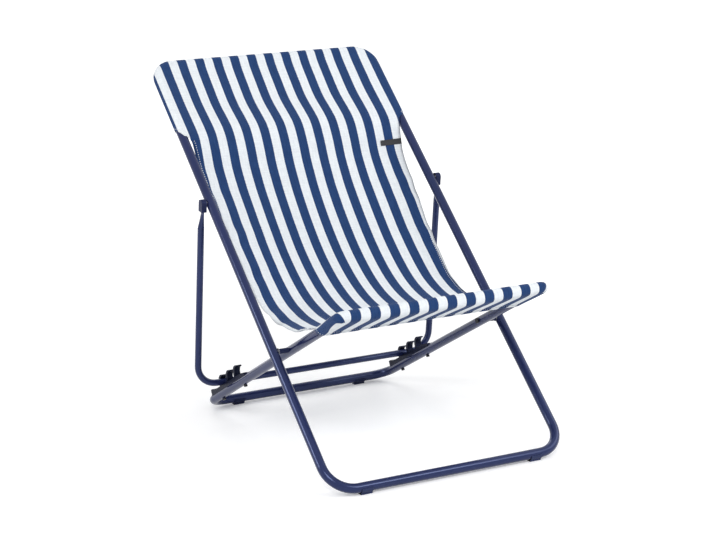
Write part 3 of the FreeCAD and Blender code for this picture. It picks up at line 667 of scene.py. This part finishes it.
def stitches(lines, material):
    """Each stitch is a short thread with rounded ends that passes through the cloth."""
    points, faces = [], []
    rings, around = ((-0.5, 0.35), (-0.32, 1.0), (0.32, 1.0), (0.5, 0.35)), 6
    for line in lines:
        spans = [(b - a).length for a, b in zip(line, line[1:])]
        runs = np.concatenate([[0], np.cumsum(spans)])
        coords = np.array([tuple(p) for p in line])
        for place in np.arange(0.5 * STITCH_PITCH, runs[-1], STITCH_PITCH):
            middle = along_line(coords, runs, place)
            ahead = along_line(coords, runs, place + STITCH_AIM)
            if (ahead - middle).length < 1e-6:
                continue
            turn = (ahead - middle).to_track_quat("Z", "Y").to_matrix()
            start = len(points)
            for at, size in rings:
                for k in range(around):
                    a = 2 * math.pi * k / around
                    local = Vector((math.cos(a), math.sin(a), 0)) * STITCH_RADIUS * size
                    points.append(middle + turn @ (local + Vector((0, 0, at * STITCH_LENGTH))))
            for r in range(len(rings) - 1):
                for k in range(around):
                    a, b = start + r * around + k, start + r * around + (k + 1) % around
                    faces.append((a, b, b + around, a + around))
            faces.append(tuple(range(start + around - 1, start - 1, -1)))
            faces.append(tuple(range(len(points) - around, len(points))))
    return linked("canvas_stitching", points, faces, material)


def label(sling, material):
    """A bare tape sewn flat on the sling's right edge, its ends turned under."""
    low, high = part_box("canvas_label")
    middle = sling.run_at_height((low[2] + high[2]) / 2)
    rows = []
    across = [0.0, 0.012, 0.05] + [0.1 + 0.8 * i / 12 for i in range(13)] + [0.95, 0.988, 1.0]
    down = [0.0, 0.03, 0.1] + [0.2 + 0.6 * i / 5 for i in range(6)] + [0.9, 0.97, 1.0]
    for v in down:
        run = middle + LABEL_HEIGHT * (v - 0.5)
        row = []
        for u in across:
            inset = LABEL_LENGTH * (1 - u)
            selvedge = LABEL_SELVEDGE if min(v, 1 - v) < 0.11 else 0.0
            turned = LABEL_TURN if min(u, 1 - u) < 0.051 else 0.0
            off = CLOTH_THICK / 2 + LABEL_THICK / 2 + LABEL_GAP + selvedge + turned
            row.append(sling.point(run, sling.inset_share(run, 1, inset), off))
        rows.append(row)
    points = [p for row in rows for p in row]
    wide = len(across)
    faces = []
    for r in range(len(down) - 1):
        for c in range(wide - 1):
            a = r * wide + c
            faces.append((a, a + 1, a + wide + 1, a + wide))
    obj = linked("canvas_label_tape", points, faces, material)
    thicken(obj, LABEL_THICK)
    return obj


def canvas(material, thread, tape):
    cloth, sling = Cloth(), Sling()
    head = Hood(
        outer_point,
        half=OUTER_HALF,
        bend=HEAD_CORNER,
        ease=0.0,
        mouth=HEAD_MOUTH,
        bar=OUTER_REACH,
        lean=head_lean,
        face=head_face(sling),
        flat_start=0.0,
        flat_sign=-1,
        seam=ARC // 2,
        drop=0.0,
    )
    seat = Hood(
        inner_point,
        half=INNER_HALF,
        bend=SEAT_CORNER,
        ease=SEAT_EASE,
        mouth=SEAT_MOUTH,
        bar=-INNER_REACH,
        lean=seat_lean,
        face=seat_face,
        flat_start=sling.length,
        flat_sign=1,
        seam=ARC,
        drop=SEAT_DROP,
    )
    head.build(cloth)
    seat.build(cloth)
    runs = [sling.length * i / SLING_ROWS for i in range(SLING_ROWS + 1)]
    rows, flats = [], []
    for run in runs:
        draw = smooth(0.55 * sling.length, sling.length, run)
        if run in (runs[0], runs[-1]):
            row = (head if run == 0 else seat).front[0][1:-1]
        else:
            row = [cloth.vertex(sling.point(run, share)) for share in INSIDE]
        rows.append(row)
        flats.append([(flat_across(cloth.points[i].x, draw), run) for i in row])
    cloth.grid(rows, flats)
    for side in (-1, 1):
        side_hem(cloth, sling, rows[2:-3], runs[2:-3], side)
    mouth_hem(cloth, head)
    mouth_hem(cloth, seat)
    sheet = cloth.build("striped_canvas", material)
    sewing = stitches(stitch_lines(cloth, sling, (head, seat)), thread)
    return sheet, sewing, label(sling, tape), cloth.flat_area()


def dress():
    enamel = painted_tube()
    plastic = moulded_plastic("black_moulding", (0.0026, 0.0040, 0.0115), (0.0056, 0.0080, 0.0205))
    navy_plastic = moulded_plastic("navy_moulding", (0.014, 0.019, 0.060), (0.021, 0.028, 0.086))
    # The front feet take a lighter copy of the rear feet's navy moulding: painted light on the front
    # feet. Their faces across the chair are nearly black.
    lit_front_foot_colours = (0.036, 0.047, 0.118), (0.050, 0.064, 0.155), (0.0012, 0.0015, 0.003)
    lit_front_foot_plastic = moulded_plastic("front_foot_moulding_painted_lit", *lit_front_foot_colours)
    dark_steel = metal("dark_steel", (0.012, 0.012, 0.016), (0.030, 0.030, 0.036))
    # The inserts' zinc is painted dark: partly dulled zinc, partly painted shade between the tubes.
    zinc = metal("zinc_painted_dark_for_shade", (0.14, 0.145, 0.16), (0.26, 0.265, 0.285))
    kinds = {
        "front_foot": lit_front_foot_plastic,
        "rear_foot": navy_plastic,
        "rack_screws": dark_steel,
        "rack": plastic,
        "cap": navy_plastic,
        "spacer": navy_plastic,
        "insert": zinc,
        "bolt": dark_steel,
        "tube": enamel,
    }
    for name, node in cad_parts.items():
        chosen = next((kinds[kind] for kind in kinds if kind in name), None)
        if chosen:
            node.data.materials.clear()
            node.data.materials.append(chosen)
        if chosen in (plastic, navy_plastic, lit_front_foot_plastic):
            soft = node.modifiers.new("worn edges", "BEVEL")
            soft.width = 0.0006
            soft.segments = 2
            soft.limit_method = "ANGLE"
            soft.angle_limit = math.radians(40)
    sheet, sewing, tape, area = canvas(striped_canvas(), sewing_thread(), label_cloth())
    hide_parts("canvas_sling", "canvas_head_hood", "canvas_seat_hood")
    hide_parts("canvas_label")
    for piece, slot in ((sheet, "striped_canvas"), (sewing, "striped_canvas"), (tape, "label_cloth")):
        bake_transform(piece)


# Studio


def seen_directly(tree):
    """1 for rays from the camera, a mirror or glass, and 0 for light that falls on surfaces."""
    rays = add(tree, "ShaderNodeLightPath")
    seen = math_node(tree, "MAXIMUM", rays.outputs["Is Camera Ray"], rays.outputs["Is Glossy Ray"])
    return math_node(tree, "MAXIMUM", seen, rays.outputs["Is Transmission Ray"])


def studio():
    scene = bpy.context.scene
    scene.view_settings.view_transform = "Standard"

    mesh = bpy.data.meshes.new("floor")
    size = 12.0
    corners = [(-size, -size, 0), (size, -size, 0), (size, size, 0), (-size, size, 0)]
    mesh.from_pydata(corners, [], [(0, 1, 2, 3)])
    floor = bpy.data.objects.new("floor", mesh)
    bpy.context.collection.objects.link(floor)
    material, tree, shader = new_material("pale_floor")
    shader.inputs["Base Color"].default_value = (0.93, 0.93, 0.93, 1)
    shader.inputs["Roughness"].default_value = 0.9
    shader.inputs["Specular IOR Level"].default_value = 0.0
    place = add(tree, "ShaderNodeTexCoord").outputs["Object"]
    away = add(tree, "ShaderNodeVectorMath", operation="LENGTH")
    tree.links.new(place, away.inputs[0])
    distance = math_node(tree, "DIVIDE", away.outputs["Value"], size)
    glow = ramp(tree, distance, [(0.08, (0.20,) * 3), (0.30, (0.65,) * 3)])
    glow = math_node(tree, "MULTIPLY", seen_directly(tree), glow)
    tree.links.new(glow, shader.inputs["Emission Strength"])
    shader.inputs["Emission Color"].default_value = (1, 1, 1, 1)
    mesh.materials.append(material)

    world = bpy.data.worlds.new("studio")
    scene.world = world
    world.use_nodes = True
    tree = world.node_tree
    background = tree.nodes["Background"]
    strength = math_node(tree, "MULTIPLY", seen_directly(tree), 0.5)
    strength = math_node(tree, "ADD", strength, 0.5)
    tree.links.new(strength, background.inputs["Strength"])
    background.inputs["Color"].default_value = (1, 1, 1, 1)

    for name, spot, power, width in (
        ("key", (-2.2, -3.2, 3.2), 76, 1.6),
        ("front", (1.7, -3.2, 2.8), 48, 1.5),
        ("side", (-3.8, 0.5, 1.9), 40, 1.2),
        ("fill", (3.2, -1.6, 2.6), 34, 2.2),
        ("back", (0.4, 3.2, 3.0), 36, 2.4),
    ):
        lamp = bpy.data.lights.new(name, "AREA")
        lamp.energy = power
        lamp.size = width
        obj = bpy.data.objects.new(name, lamp)
        obj.location = spot
        aim = Vector((0, 0, 0.42)) - Vector(spot)
        obj.rotation_euler = aim.to_track_quat("-Z", "Y").to_euler()
        bpy.context.collection.objects.link(obj)


def camera():
    """The photograph's view: focal length and principal point in its own pixels, 716 by 540."""
    width, sensor = 716, 36
    focal, centre_x, centre_y = 1997.69, -3.964, -27.691
    roll = math.radians(-0.888)
    spot = Vector((-2.1475, -4.0192, 1.4399))
    target = Vector((-0.025863, -0.061896, 0.455717))
    forward = (target - spot).normalized()
    right = forward.cross(Vector((0, 0, 1))).normalized()
    up = right.cross(forward)
    turned_right = right * math.cos(roll) + up * math.sin(roll)
    turned_up = up * math.cos(roll) - right * math.sin(roll)
    data = bpy.data.cameras.new("camera")
    data.sensor_fit = "HORIZONTAL"
    data.sensor_width = sensor
    data.lens = focal / width * sensor
    data.shift_x = -centre_x / width
    data.shift_y = centre_y / width
    obj = bpy.data.objects.new("camera", data)
    axes = Matrix((turned_right, turned_up, -forward)).transposed()
    obj.matrix_world = Matrix.Translation(spot) @ axes.to_4x4()
    bpy.context.collection.objects.link(obj)
    bpy.context.scene.camera = obj


dress()
studio()
camera()
